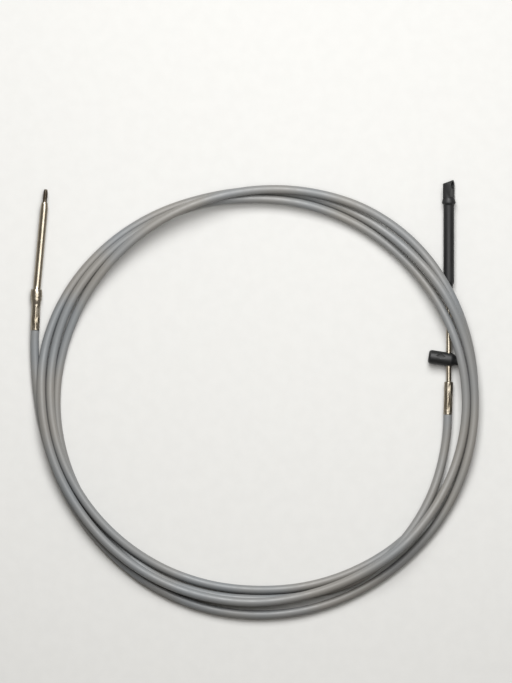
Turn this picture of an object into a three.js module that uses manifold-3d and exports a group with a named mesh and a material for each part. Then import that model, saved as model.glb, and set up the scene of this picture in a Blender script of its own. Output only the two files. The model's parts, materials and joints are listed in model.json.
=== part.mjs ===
// Push-pull control cable for a boat's throttle or shift lever, lying coiled on a flat surface.
//
// A grey jacketed conduit makes three and a half turns. At its input end a steel hub is crimped
// on, and a steel sleeve swivels on a ball in the hub and guides a threaded rod. At its output end
// a crimped ferrule holds a thin support tube, which carries a black anchor barrel, and a black
// casing guide with an eye slides along the tube.
//
// Millimetres, +Z up, the cable lies on Z = 0. Angles in the plan count from +X towards +Y.
// The origin is the middle of the whole cable's footprint.

import * as THREE from 'three';
import { mergeVertices } from 'three/addons/utils/BufferGeometryUtils.js';
import Module from 'manifold-3d';

const wasm = await Module();
wasm.setup();

const SEAT_GAP = 0.3;          // clearance between two pieces that are seated on each other
const ROUND_SIDES = 24;        // sides of a turned piece

// Conduit
const JACKET_DIAMETER = 7.9;
const JACKET_SIDES = 10;
const CRIMP_WALL = 0.2;        // how far a crimped fitting stands proud of the jacket
const CRIMP_DIAMETER = JACKET_DIAMETER + 2 * CRIMP_WALL;
const CRIMP_CHAMFER = 0.4;

// Strokes
const TRAVEL = 50.8;           // of the rod, and of the casing guide
const SLIDING_CLEARANCE = 0.25;
const BORE_END_ROOM = 2;       // between a sliding piece and the bottom of its bore

// Input end: rod, swivel sleeve and crimped hub
const ROD_DIAMETER = 4.8;
const ROD_NECK_DIAMETER = 3.9;
const ROD_NECK_LENGTH = 1.4;
const ROD_SHOULDER = 0.5;      // length of the slope down to the neck
const ROD_THREAD_LENGTH = 4.0;
const ROD_NOSE_LENGTH = 4.2;
const ROD_TIP_DIAMETER = 1.6;
const ROD_SHOWN = 12.2;        // of the rod past the sleeve's mouth, pushed fully in
const ROD_ENGAGED = 25.4;      // of the rod left in the sleeve, pulled fully out
const SLEEVE_WALL = 0.95;
const SLEEVE_DIAMETER = ROD_DIAMETER + 2 * (SLIDING_CLEARANCE + SLEEVE_WALL);
const SLEEVE_CHAMFER = 0.5;
const SLEEVE_ROOT = 5.6;       // from the swivel's centre to the bottom of the sleeve's bore
const SLEEVE_LENGTH = SLEEVE_ROOT + BORE_END_ROOM + TRAVEL + ROD_ENGAGED;
const SLEEVE_REST_SWING = 3;   // degrees that the sleeve lies turned away from the hub's axis
const SWING_ROOM = 0.7;        // between the sleeve and the hub's mouth
const SOCKET_LIP = 0.5;        // how far the hub's mouth reaches in over the ball
const HUB_WALL = 0.6;          // of the hub round its socket
const HUB_MOUTH_DIAMETER = SLEEVE_DIAMETER + 2 * SWING_ROOM;
const SOCKET_DIAMETER = HUB_MOUTH_DIAMETER + 2 * SOCKET_LIP;
const HUB_DIAMETER = SOCKET_DIAMETER + 2 * HUB_WALL;
const HUB_MOUTH_DEPTH = 1.0;
const PIVOT_BELOW_MOUTH = 3.8;
const CRIMP_LENGTH = 24.4;
const HUB_LENGTH = 13.9;
const HUB_CONE = 3;            // length of the cone between the crimp and the hub
const HUB_GROOVE_DEPTH = 0.65;
const HUB_GROOVE_WIDTH = 0.7;
const HUB_RING_WIDTH = 2.0;    // between the hub's two clamp grooves
const HUB_RING_STEP = 0.2;     // how far the ring lies below the hub's own diameter
const HUB_ROUNDING = 4.4;      // length over which the hub rounds off to its rim
const HUB_RIM = 0.25;          // width of the flat rim round the hub's mouth

// Output end: crimped ferrule, support tube, anchor barrel and casing guide
const FERRULE_LENGTH = 30.8;
const FERRULE_NOSE = 0.7;      // length of the slope down to the tube
const TUBE_DIAMETER = 4.8;
const TUBE_WALL = 0.8;
const TUBE_CHAMFER = 0.3;
const FERRULE_LIP = 0.6;       // of the ferrule's nose round the tube
const BARREL_DIAMETER = 12.7;
const BARREL_LONG_ARM = 18.8;  // from the tube's axis to the barrel's blunt end
const BARREL_SHORT_ARM = 10;   // from the tube's axis to the end of the barrel's nose
const BARREL_CONE_END = 6;     // from the tube's axis to where the barrel's nose is reached
const BARREL_NOSE_DIAMETER = 8.4;
const BARREL_CORNER = 2.6;
const BARREL_FROM_FERRULE = 20.3;
const BARREL_TURN = -8.5;      // degrees that the barrel lies turned on its tube
const POCKET_LENGTH = 9.2;
const POCKET_WIDTH = 5.4;
const POCKET_DEPTH = 2.2;
const POCKET_FROM_TUBE = 0.6;
const POCKET_OFF_AXIS = 2;     // towards the casing guide
const GUIDE_WALL = 2.25;
const GUIDE_DIAMETER = TUBE_DIAMETER + 2 * (SLIDING_CLEARANCE + GUIDE_WALL);
const GUIDE_LEAD = 2.8;        // length of the chamfer at the seal
const GUIDE_LEAD_DEPTH = 0.9;
const GUIDE_OVERLAP = 24;      // of the tube inside the guide, pushed fully out
const GUIDE_STOP_ROOM = 8.55;  // between the barrel and the guide, pulled fully in
const GUIDE_FROM_FERRULE = BARREL_FROM_FERRULE + BARREL_DIAMETER / 2 + GUIDE_STOP_ROOM + TRAVEL;
const GUIDE_END_WALL = 7;      // from the bottom of the guide's bore to the eye's root
const COLLAR_STEP = 1.35;
const COLLAR_DIAMETER = GUIDE_DIAMETER + 2 * COLLAR_STEP;
const COLLAR_LENGTH = 7.3;
const COLLAR_SLOPE = 1.4;      // on the tube's side
const COLLAR_TAPER = 4.4;      // length of the collar's taper on the eye's side
const SEAL_WALL = 1.2;
const SEAL_DIAMETER = TUBE_DIAMETER + 2 * (SLIDING_CLEARANCE + SEAL_WALL);
const SEAL_LENGTH = 3.0;
const SEAL_CHAMFER = 0.5;
const EYE_BORE = 6.4;
const EYE_WALL = 1.8;
const EYE_WIDTH = EYE_BORE + 2 * EYE_WALL;
const EYE_THICKNESS = 7.4;
const EYE_REACH = 16;          // from the collar to the eye's tip
const EYE_BORE_FROM_TIP = 5.2;
const EYE_ROOT = 1;            // how far the eye's blade reaches into the collar
const EYE_ROLL = 24;           // degrees that the eye's flat is turned about the guide's axis
const EYE_SLANT = 20.5;        // degrees of the slanted cut across the eye's tip
const EYE_SLANT_FROM_TIP = 1.9;
const TUBE_HEIGHT = Math.max(BARREL_DIAMETER, COLLAR_DIAMETER) / 2;

// Route of the conduit, from the input hub to the output ferrule: the angle about the coil's
// centre, counting on past 360 degrees with each turn, how far outside the coil's radius it lies,
// and its height. A height of half the jacket lies on the ground. The stations were chosen by hand.
const COIL_RADIUS = 195;
const LAID = JACKET_DIAMETER / 2;
const ROUTE = [
  [162.2, 19.5, HUB_DIAMETER / 2], [171, 11.6, 4.2], [180, 6, LAID], [195, 0.6, LAID],
  [210, -1.6, LAID], [225, -1.9, LAID], [240, -0.9, LAID], [255, 0.1, LAID],
  [270, 0.7, LAID], [285, 1.5, LAID], [300, 2.2, LAID], [315, 3.4, 4.5],
  [330, 4.6, 6.5], [345, 5.2, 10.8], [360, 5, 12.4],
  // over the support tube, then round to the inside of the first turn
  [375, 4.7, 17.6], [390, 3.8, 23.2], [405, 1.5, 16.4], [420, 0.5, 6.6],
  [435, -0.3, LAID], [450, -1, LAID], [465, -1.3, LAID], [480, 1.1, LAID],
  [495, 3.9, LAID], [510, 6.1, LAID], [525, 6.2, 6.6],
  [540, 2.9, 11.7], [555, -0.2, 13.2], [570, -3.5, 12.4], [585, -5.8, 12.2],
  [600, -7.7, 12.1], [615, -9.8, 12.1], [630, -11, 12.1], [645, -11.9, 12.2],
  [660, -10.4, 16.5], [675, -7, 20.3], [690, -5.2, 16.5], [705, -3.6, 12.6],
  [720, -2.8, 14.4],
  // over the support tube again
  [735, -3.7, 17.2], [750, -5.2, 14.2], [765, -6.7, 8.0], [780, -7.6, 6.2],
  [795, -7.9, 7.4], [810, -8.1, 7.9], [825, -6.2, 10.8], [840, -4.6, 10.4],
  [855, -2, 9.8], [870, -0.9, 9.1], [885, -2.3, 7.0],
  [900, -5, 10.0], [915, -8.1, 11.8], [930, -12.2, 12.1], [945, -16.2, 10.7],
  [960, -19.3, 5.0], [975, -21.5, LAID], [990, -22.1, LAID], [1005, -19.7, LAID],
  [1020, -15.8, LAID], [1035, -10.7, LAID], [1050, -6.4, LAID], [1065, -0.9, LAID],
  [1080, 4.2, LAID],
  // over the end of the casing guide, then across both other turns to the inside
  [1095, 6.6, 9.8], [1110, 8.7, 16.3], [1125, 10.1, 14.0], [1140, 8.5, 12.2],
  [1155, 4.1, 12.2], [1170, -0.1, 13.2], [1185, -3.8, 18.6], [1200, -6.5, 18.3],
  [1215, -8.6, 14.6], [1230, -9.8, 8.2], [1245, -10.5, 4.3],
  [1260, -10.3, LAID], [1275, -10.5, LAID], [1290, -11, LAID], [1305, -11.5, LAID],
  [1320, -10.1, LAID], [1335, -12.4, LAID], [1350, -13.7, LAID], [1365, -11.3, LAID],
  [1380, -7.5, 7.6], [1395, -9.8, 12.1], [1410, -13, 10.0], [1425, -16.9, 6.0],
  [1436.1, -19.2, TUBE_HEIGHT],
];

// Where the fittings point: degrees that each axis is turned from +Y
const HUB_HEADING = -2.2;
const FERRULE_HEADING = -1.8;
const TUBE_HEADING = 0;

const COLOURS = {
  jacket: { color: 0x8f9294, roughness: 0.45, metalness: 0 },
  steel: { color: 0xb9b2a4, roughness: 0.28, metalness: 1 },
  plated: { color: 0xa8a294, roughness: 0.35, metalness: 1 },
  plastic: { color: 0x26282b, roughness: 0.42, metalness: 0 },
  rubber: { color: 0x1b1c1c, roughness: 0.7, metalness: 0 },
};

const radians = THREE.MathUtils.degToRad;

function piece(name, geometry, finish) {
  const mesh = new THREE.Mesh(geometry, new THREE.MeshStandardMaterial(COLOURS[finish]));
  mesh.name = name;
  return mesh;
}

// A turned piece about the Y axis, from [radius, y] pairs that go up its outside
function turned(profile) {
  const points = profile.map(([radius, y]) => new THREE.Vector2(radius, y));
  return new THREE.LatheGeometry(points, ROUND_SIDES);
}

// Points on a circle in the profile's plane, from one angle to another
function arc(y, radius, from, to, steps) {
  return Array.from({ length: steps + 1 }, (_, i) => {
    const angle = radians(from + ((to - from) * i) / steps);
    return [Math.max(0, radius * Math.cos(angle)), y + radius * Math.sin(angle)];
  });
}

// Points that round off from one radius to another, over a length along the axis
function rounding(from, to, y, length, steps) {
  return Array.from({ length: steps + 1 }, (_, i) => {
    const angle = (Math.PI / 2) * (i / steps);
    return [to + (from - to) * Math.cos(angle), y + length * Math.sin(angle)];
  });
}

// The angle above a ball's middle at which it has the given radius
function angleAt(radius, ballRadius) {
  return THREE.MathUtils.radToDeg(Math.acos(radius / ballRadius));
}

function solidOf(geometry) {
  const bare = geometry.clone();
  bare.deleteAttribute('normal');
  bare.deleteAttribute('uv');
  const merged = mergeVertices(bare, 1e-4);
  return new wasm.Manifold(new wasm.Mesh({
    numProp: 3,
    vertProperties: new Float32Array(merged.attributes.position.array),
    triVerts: new Uint32Array(merged.index.array),
  }));
}

function geometryOf(solid) {
  const mesh = solid.getMesh();
  const geometry = new THREE.BufferGeometry();
  geometry.setAttribute('position', new THREE.BufferAttribute(mesh.vertProperties, 3));
  geometry.setIndex(new THREE.BufferAttribute(mesh.triVerts, 1));
  geometry.computeVertexNormals();
  return geometry;
}

function stationPoint([angle, outwards, height]) {
  const turn = radians(angle);
  const radius = COIL_RADIUS + outwards;
  return new THREE.Vector3(radius * Math.cos(turn), radius * Math.sin(turn), height);
}

function conduitJacket() {
  const route = new THREE.CatmullRomCurve3(ROUTE.map(stationPoint));
  // a step ends on each station, so the flats of neighbouring turns lie side by side
  route.getUtoTmapping = (share) => share;
  const section = new THREE.Shape(Array.from({ length: JACKET_SIDES }, (_, i) => {
    const angle = (2 * Math.PI * (i + 0.5)) / JACKET_SIDES;
    return new THREE.Vector2(LAID * Math.cos(angle), LAID * Math.sin(angle));
  }));
  const tube = new THREE.ExtrudeGeometry(section, { steps: ROUTE.length - 1, extrudePath: route });
  return piece('conduit_jacket', tube, 'jacket');
}

function inputHub() {
  const crimp = CRIMP_DIAMETER / 2;
  const outer = HUB_DIAMETER / 2;
  const groove = outer - HUB_GROOVE_DEPTH;
  const ring = outer - HUB_RING_STEP;
  const mouth = HUB_MOUTH_DIAMETER / 2;
  const socket = SOCKET_DIAMETER / 2;
  const ringAt = CRIMP_LENGTH + HUB_CONE + HUB_GROOVE_WIDTH;
  const ringEnd = ringAt + HUB_RING_WIDTH;
  const end = CRIMP_LENGTH + HUB_LENGTH;
  return piece('input_hub', turned([
    [0, SEAT_GAP],
    [crimp - CRIMP_CHAMFER, SEAT_GAP],
    [crimp, SEAT_GAP + CRIMP_CHAMFER],
    [crimp, CRIMP_LENGTH],
    [groove, CRIMP_LENGTH + HUB_CONE],
    [groove, ringAt],
    [ring, ringAt],
    [ring, ringEnd],
    [groove, ringEnd],
    [groove, ringEnd + HUB_GROOVE_WIDTH],
    [outer, ringEnd + HUB_GROOVE_WIDTH],
    ...rounding(outer, mouth + HUB_RIM, end - HUB_ROUNDING, HUB_ROUNDING, 4),
    [mouth, end],
    [mouth, end - HUB_MOUTH_DEPTH],
    ...arc(end - PIVOT_BELOW_MOUTH, socket, angleAt(mouth, socket), -90, 8),
  ]), 'plated');
}

function inputSleeve() {
  const ball = SOCKET_DIAMETER / 2 - SEAT_GAP;
  const outer = SLEEVE_DIAMETER / 2;
  const bore = ROD_DIAMETER / 2 + SLIDING_CLEARANCE;
  return piece('input_sleeve', turned([
    ...arc(0, ball, -90, angleAt(outer, ball), 8),
    [outer, SLEEVE_LENGTH - SLEEVE_CHAMFER],
    [outer - SLEEVE_CHAMFER, SLEEVE_LENGTH],
    [bore, SLEEVE_LENGTH],
    [bore, SLEEVE_ROOT],
    [0, SLEEVE_ROOT],
  ]), 'steel');
}

function inputRod() {
  const radius = ROD_DIAMETER / 2;
  const neck = ROD_NECK_DIAMETER / 2;
  const neckAt = SLEEVE_LENGTH + ROD_SHOULDER;
  const tip = SLEEVE_LENGTH + ROD_SHOWN;
  const nose = tip - ROD_NOSE_LENGTH;
  return piece('input_rod', turned([
    [0, SLEEVE_ROOT + BORE_END_ROOM],
    [radius, SLEEVE_ROOT + BORE_END_ROOM],
    [radius, SLEEVE_LENGTH],
    [neck, neckAt],
    [neck, neckAt + ROD_NECK_LENGTH],
    [radius, nose - ROD_THREAD_LENGTH],
    ...rounding(radius, ROD_TIP_DIAMETER / 2, nose, ROD_NOSE_LENGTH, 5),
    [0, tip],
  ]), 'plated');
}

function outputFerrule() {
  const outer = CRIMP_DIAMETER / 2;
  return piece('output_ferrule', turned([
    [0, SEAT_GAP],
    [outer - CRIMP_CHAMFER, SEAT_GAP],
    [outer, SEAT_GAP + CRIMP_CHAMFER],
    [outer, FERRULE_LENGTH - FERRULE_NOSE],
    [TUBE_DIAMETER / 2 + FERRULE_LIP, FERRULE_LENGTH],
    [0, FERRULE_LENGTH],
  ]), 'plated');
}

function supportTube() {
  const end = GUIDE_FROM_FERRULE + GUIDE_OVERLAP;
  const outer = TUBE_DIAMETER / 2;
  const bore = outer - TUBE_WALL;
  return piece('support_tube', turned([
    [bore, SEAT_GAP],
    [outer, SEAT_GAP],
    [outer, end - TUBE_CHAMFER],
    [outer - TUBE_CHAMFER, end],
    [bore, end],
    [bore, SEAT_GAP],
  ]), 'steel');
}

function anchorBarrel() {
  const outer = BARREL_DIAMETER / 2;
  const tube = TUBE_DIAMETER / 2;
  const barrel = turned([
    [0, -BARREL_SHORT_ARM],
    [BARREL_NOSE_DIAMETER / 2, -BARREL_SHORT_ARM],
    [BARREL_NOSE_DIAMETER / 2, -BARREL_CONE_END],
    [outer, -tube],
    ...rounding(outer, outer - BARREL_CORNER, BARREL_LONG_ARM - BARREL_CORNER, BARREL_CORNER, 3),
    [0, BARREL_LONG_ARM],
  ]);
  barrel.rotateZ(radians(90 + BARREL_TURN));

  const through = 3 * BARREL_DIAMETER;
  const bore = new THREE.CylinderGeometry(tube + SEAT_GAP, tube + SEAT_GAP, through, ROUND_SIDES);

  const diamond = new THREE.Shape([
    new THREE.Vector2(-POCKET_LENGTH / 2, 0),
    new THREE.Vector2(0, -POCKET_WIDTH / 2),
    new THREE.Vector2(POCKET_LENGTH / 2, 0),
    new THREE.Vector2(0, POCKET_WIDTH / 2),
  ]);
  const pocket = new THREE.ExtrudeGeometry(diamond, { depth: BARREL_DIAMETER, bevelEnabled: false });
  const pocketAt = -tube - POCKET_FROM_TUBE - POCKET_LENGTH / 2;
  pocket.translate(pocketAt, POCKET_OFF_AXIS, outer - POCKET_DEPTH);
  pocket.rotateZ(radians(BARREL_TURN));

  const solid = solidOf(barrel).subtract(solidOf(bore)).subtract(solidOf(pocket));
  return piece('anchor_barrel', geometryOf(solid), 'plastic');
}

function guideSeal() {
  const bore = TUBE_DIAMETER / 2 + SLIDING_CLEARANCE;
  const outer = SEAL_DIAMETER / 2;
  return piece('guide_seal', turned([
    [bore, 0],
    [outer - SEAL_CHAMFER, 0],
    [outer, SEAL_CHAMFER],
    [outer, SEAL_LENGTH],
    [bore, SEAL_LENGTH],
    [bore, 0],
  ]), 'rubber');
}

function casingGuide() {
  const outer = GUIDE_DIAMETER / 2;
  const collar = COLLAR_DIAMETER / 2;
  const bore = TUBE_DIAMETER / 2 + SLIDING_CLEARANCE;
  const boreEnd = GUIDE_OVERLAP + TRAVEL + BORE_END_ROOM;
  const collarEnd = boreEnd + GUIDE_END_WALL;
  const collarAt = collarEnd - COLLAR_LENGTH;
  const tip = collarEnd + EYE_REACH;
  const body = turned([
    [bore, SEAL_LENGTH],
    [outer - GUIDE_LEAD_DEPTH, SEAL_LENGTH],
    [outer, SEAL_LENGTH + GUIDE_LEAD],
    [outer, collarAt],
    [collar, collarAt + COLLAR_SLOPE],
    [collar, collarEnd - COLLAR_TAPER],
    [outer, collarEnd],
    [0, collarEnd],
    [0, boreEnd],
    [bore, boreEnd],
    [bore, SEAL_LENGTH],
  ]);

  const blade = new THREE.Shape();
  const half = EYE_WIDTH / 2;
  blade.moveTo(-half, collarEnd - EYE_ROOT);
  blade.lineTo(half, collarEnd - EYE_ROOT);
  blade.lineTo(half, tip - half);
  blade.absarc(0, tip - half, half, 0, Math.PI, false);
  const hole = new THREE.Path();
  hole.absarc(0, tip - EYE_BORE_FROM_TIP, EYE_BORE / 2, 0, 2 * Math.PI, true);
  blade.holes.push(hole);
  const eye = new THREE.ExtrudeGeometry(blade, {
    depth: EYE_THICKNESS, bevelEnabled: false, curveSegments: 12,
  });
  eye.translate(0, 0, -EYE_THICKNESS / 2);
  eye.rotateY(radians(90 - EYE_ROLL));

  const cut = 4 * EYE_WIDTH;
  const slant = new THREE.BoxGeometry(cut, cut, cut);
  slant.translate(0, cut / 2, 0);
  slant.rotateZ(radians(EYE_SLANT));
  slant.translate(0, tip - EYE_SLANT_FROM_TIP, 0);

  const solid = solidOf(body).add(solidOf(eye).subtract(solidOf(slant)));
  return piece('casing_guide', geometryOf(solid), 'plastic');
}

// A group whose +Y points along a fitting that starts at the given end of the conduit
function fittingAt(station, heading) {
  const group = new THREE.Group();
  group.position.copy(stationPoint(station));
  group.rotation.z = radians(heading);
  return group;
}

function inputEnd() {
  const end = fittingAt(ROUTE[0], HUB_HEADING);
  const swivel = new THREE.Group();
  swivel.position.y = CRIMP_LENGTH + HUB_LENGTH - PIVOT_BELOW_MOUTH;
  swivel.rotation.z = radians(-SLEEVE_REST_SWING);
  swivel.add(inputSleeve(), inputRod());
  end.add(inputHub(), swivel);
  return end;
}

function outputEnd() {
  const end = fittingAt(ROUTE[ROUTE.length - 1], FERRULE_HEADING);
  const tube = new THREE.Group();
  tube.position.y = FERRULE_LENGTH;
  tube.rotation.z = radians(TUBE_HEADING - FERRULE_HEADING);
  const barrel = anchorBarrel();
  barrel.position.y = BARREL_FROM_FERRULE;
  const guide = new THREE.Group();
  guide.position.y = GUIDE_FROM_FERRULE;
  guide.add(guideSeal(), casingGuide());
  tube.add(supportTube(), barrel, guide);
  end.add(outputFerrule(), tube);
  return end;
}

const cable = new THREE.Group();
cable.add(conduitJacket(), inputEnd(), outputEnd());

// The middle of the footprint becomes the origin
cable.updateMatrixWorld(true);
const footprint = new THREE.Box3().setFromObject(cable, true);
cable.position.set(
  -(footprint.min.x + footprint.max.x) / 2,
  -(footprint.min.y + footprint.max.y) / 2,
  -footprint.min.z,
);
cable.updateMatrixWorld(true);

export default cable;
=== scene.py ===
"""Looks of a push-pull control cable for a boat's throttle or shift lever, lying in a coil.

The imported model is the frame. The conduit becomes a smooth tube on the route of its CAD solid,
and each fitting is made again as a fine mesh with its crimps, grooves, thread and moulded edges.
Places are in metres, +Z up, in the row frame. Sizes written in millimetres are multiplied by MM.
"""

import json
import logging
import math
from dataclasses import dataclass
from enum import Enum
from typing import Callable

import bmesh
import bpy
from mathutils import Matrix, Vector


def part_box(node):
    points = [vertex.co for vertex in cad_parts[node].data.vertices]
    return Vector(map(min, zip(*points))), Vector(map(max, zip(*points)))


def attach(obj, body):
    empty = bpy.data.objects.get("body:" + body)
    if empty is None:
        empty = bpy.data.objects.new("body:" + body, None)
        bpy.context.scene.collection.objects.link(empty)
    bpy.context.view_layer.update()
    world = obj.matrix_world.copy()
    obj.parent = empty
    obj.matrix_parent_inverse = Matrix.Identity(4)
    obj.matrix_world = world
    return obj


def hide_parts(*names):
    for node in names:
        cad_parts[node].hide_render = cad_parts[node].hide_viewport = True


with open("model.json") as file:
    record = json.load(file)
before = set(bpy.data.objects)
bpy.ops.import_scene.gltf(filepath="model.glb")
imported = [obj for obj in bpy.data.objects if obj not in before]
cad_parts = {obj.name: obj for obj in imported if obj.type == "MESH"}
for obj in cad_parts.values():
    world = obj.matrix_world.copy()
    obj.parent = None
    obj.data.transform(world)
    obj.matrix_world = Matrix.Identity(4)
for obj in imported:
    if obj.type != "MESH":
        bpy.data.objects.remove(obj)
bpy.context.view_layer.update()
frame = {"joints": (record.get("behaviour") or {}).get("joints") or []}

LOG = logging.getLogger("control_cable")

MM = 0.001
UP = Vector((0, 0, 1))

# Fits and strokes, as in the part
SEAT_GAP = 0.3 * MM
SLIDING_CLEARANCE = 0.25 * MM
TRAVEL = 50.8 * MM
BORE_END_ROOM = 2 * MM

# Conduit: the angle about the coil's centre in degrees, counting on with each turn, how far
# outside the coil's radius it lies, and its height. LAID lies on the ground.
JACKET_DIAMETER = 7.9 * MM
LAID = JACKET_DIAMETER / 2
CRIMP_DIAMETER = 8.3 * MM
CRIMP_BORE = LAID + 0.02 * MM    # radius inside a crimp, round the conduit
CRIMP_BORE_END = 6 * MM          # how far that bore goes in
COIL_RADIUS = 0.195
ROUTE = (
    (162.2, 0.0195, 0.0054), (171, 0.0116, 0.0042), (180, 0.0060, LAID), (195, 0.0006, LAID),
    (210, -0.0016, LAID), (225, -0.0019, LAID), (240, -0.0009, LAID), (255, 0.0001, LAID),
    (270, 0.0007, LAID), (285, 0.0015, LAID), (300, 0.0022, LAID), (315, 0.0034, 0.0045),
    (330, 0.0046, 0.0065), (345, 0.0052, 0.0108), (360, 0.0050, 0.0124), (375, 0.0047, 0.0176),
    (390, 0.0038, 0.0232), (405, 0.0015, 0.0164), (420, 0.0005, 0.0066), (435, -0.0003, LAID),
    (450, -0.0010, LAID), (465, -0.0013, LAID), (480, 0.0011, LAID), (495, 0.0039, LAID),
    (510, 0.0061, LAID), (525, 0.0062, 0.0066), (540, 0.0029, 0.0117), (555, -0.0002, 0.0132),
    (570, -0.0035, 0.0124), (585, -0.0058, 0.0122), (600, -0.0077, 0.0121),
    (615, -0.0098, 0.0121), (630, -0.0110, 0.0121), (645, -0.0119, 0.0122),
    (660, -0.0104, 0.0165), (675, -0.0070, 0.0203), (690, -0.0052, 0.0165),
    (705, -0.0036, 0.0126), (720, -0.0028, 0.0144), (735, -0.0037, 0.0172),
    (750, -0.0052, 0.0142), (765, -0.0067, 0.0080), (780, -0.0076, 0.0062),
    (795, -0.0079, 0.0074), (810, -0.0081, 0.0079), (825, -0.0062, 0.0108),
    (840, -0.0046, 0.0104), (855, -0.0020, 0.0098), (870, -0.0009, 0.0091),
    (885, -0.0023, 0.0070), (900, -0.0050, 0.0100), (915, -0.0081, 0.0118),
    (930, -0.0122, 0.0121), (945, -0.0162, 0.0107), (960, -0.0193, 0.0050), (975, -0.0215, LAID),
    (990, -0.0221, LAID), (1005, -0.0197, LAID), (1020, -0.0158, LAID), (1035, -0.0107, LAID),
    (1050, -0.0064, LAID), (1065, -0.0009, LAID), (1080, 0.0042, LAID), (1095, 0.0066, 0.0098),
    (1110, 0.0087, 0.0163), (1125, 0.0101, 0.0140), (1140, 0.0085, 0.0122),
    (1155, 0.0041, 0.0122), (1170, -0.0001, 0.0132), (1185, -0.0038, 0.0186),
    (1200, -0.0065, 0.0183), (1215, -0.0086, 0.0146), (1230, -0.0098, 0.0082),
    (1245, -0.0105, 0.0043), (1260, -0.0103, LAID), (1275, -0.0105, LAID), (1290, -0.0110, LAID),
    (1305, -0.0115, LAID), (1320, -0.0101, LAID), (1335, -0.0124, LAID), (1350, -0.0137, LAID),
    (1365, -0.0113, LAID), (1380, -0.0075, 0.0076), (1395, -0.0098, 0.0121),
    (1410, -0.0130, 0.0100), (1425, -0.0169, 0.0060), (1436.1, -0.0192, 0.00635),
)

# Camera and light
PHOTO_MM_PER_PIXEL = 0.92
PHOTO_HEIGHT_PIXELS = 683
CAMERA_FROM_COIL = Vector((-0.92 * MM, 55.66 * MM, 0))     # the photo's middle
CAMERA_HEIGHT = 8.0
SENSOR_WIDTH = 36.0      # millimetres


class Body(Enum):
    """A rigid body of the part."""

    ROOT = "root"
    SLEEVE = "sleeve"
    ROD = "rod"
    GUIDE = "guide"


class Slot(Enum):
    """A material slot of the part's record."""

    JACKET = "jacket"
    PLATED = "plated_steel"
    STAINLESS = "stainless_steel"
    PLASTIC = "black_plastic"
    RUBBER = "seal_rubber"


class Join(Enum):
    """What a boolean does with its tool."""

    CUT = "DIFFERENCE"
    ADD = "UNION"


Profile = list[tuple[float, float]]
Relief = Callable[[float, float, float], float]


def linear(hex_colour: str) -> tuple[float, float, float, float]:
    """Turns an sRGB hex colour to linear light.

    Args:
        hex_colour: six hex digits, such as "8f9294".

    Returns:
        Linear red, green, blue and an alpha of one.
    """
    channels = [int(hex_colour[i:i + 2], 16) / 255 for i in (0, 2, 4)]
    light = [c / 12.92 if c <= 0.04045 else ((c + 0.055) / 1.055) ** 2.4 for c in channels]
    return (light[0], light[1], light[2], 1.0)


def add_node(tree: bpy.types.NodeTree, kind: str, settings: dict | None = None,
             links: dict | None = None) -> bpy.types.Node:
    """Adds a shader node with its settings and links.

    Args:
        tree: the node tree that takes it.
        kind: the node's type, such as "ShaderNodeTexNoise".
        settings: values by the name of a property or of an input socket.
        links: output sockets by the name of the input that each goes to.

    Returns:
        The node.
    """
    node = tree.nodes.new(kind)
    for name, value in (settings or {}).items():
        if hasattr(node, name):
            setattr(node, name, value)
        else:
            node.inputs[name].default_value = value
    for name, socket in (links or {}).items():
        tree.links.new(socket, node.inputs[name])
    return node


def blank_material(name: str) -> tuple[bpy.types.Material, bpy.types.NodeTree]:
    """Makes a material whose node tree is empty.

    Args:
        name: the material's name.

    Returns:
        The material and its tree.
    """
    material = bpy.data.materials.new(name)
    material.use_nodes = True
    material.node_tree.nodes.clear()
    return material, material.node_tree


def blend_of(tree: bpy.types.NodeTree, share: bpy.types.NodeSocket, first: str,
             second: str) -> bpy.types.NodeSocket:
    """Mixes two hex colours.

    Args:
        tree: the node tree.
        share: how much of the second colour shows, from 0 to 1.
        first: the hex colour at 0.
        second: the hex colour at 1.

    Returns:
        The mixed colour's socket.
    """
    ramp = add_node(tree, "ShaderNodeValToRGB", {}, {"Fac": share})
    ramp.color_ramp.elements[0].color = linear(first)
    ramp.color_ramp.elements[1].color = linear(second)
    return ramp.outputs["Color"]


def spread(tree: bpy.types.NodeTree, value: bpy.types.NodeSocket, low: float,
           high: float) -> bpy.types.NodeSocket:
    """Stretches a pattern's middle, from 0.35 to 0.65, over a new range.

    Args:
        tree: the node tree.
        value: the pattern.
        low: the result at 0.35.
        high: the result at 0.65.

    Returns:
        The result's socket.
    """
    node = add_node(tree, "ShaderNodeMapRange", {
        "From Min": 0.35, "From Max": 0.65, "To Min": low, "To Max": high,
    }, {"Value": value})
    return node.outputs["Result"]


def finish_surface(tree: bpy.types.NodeTree, settings: dict, links: dict,
                   relief: bpy.types.NodeSocket, depth: float) -> None:
    """Ends a material with a bump, a principled shader and the output.

    Args:
        tree: the node tree.
        settings: constants of the principled shader, by socket name.
        links: patterns that reach the shader, by socket name.
        relief: the height pattern of the bump, from 0 to 1.
        depth: the real depth of that relief, in metres.
    """
    bump = add_node(tree, "ShaderNodeBump", {"Strength": 1.0, "Distance": depth},
                    {"Height": relief})
    shader = add_node(tree, "ShaderNodeBsdfPrincipled", settings,
                      {**links, "Normal": bump.outputs["Normal"]})
    add_node(tree, "ShaderNodeOutputMaterial", {}, {"Surface": shader.outputs["BSDF"]})


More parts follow.
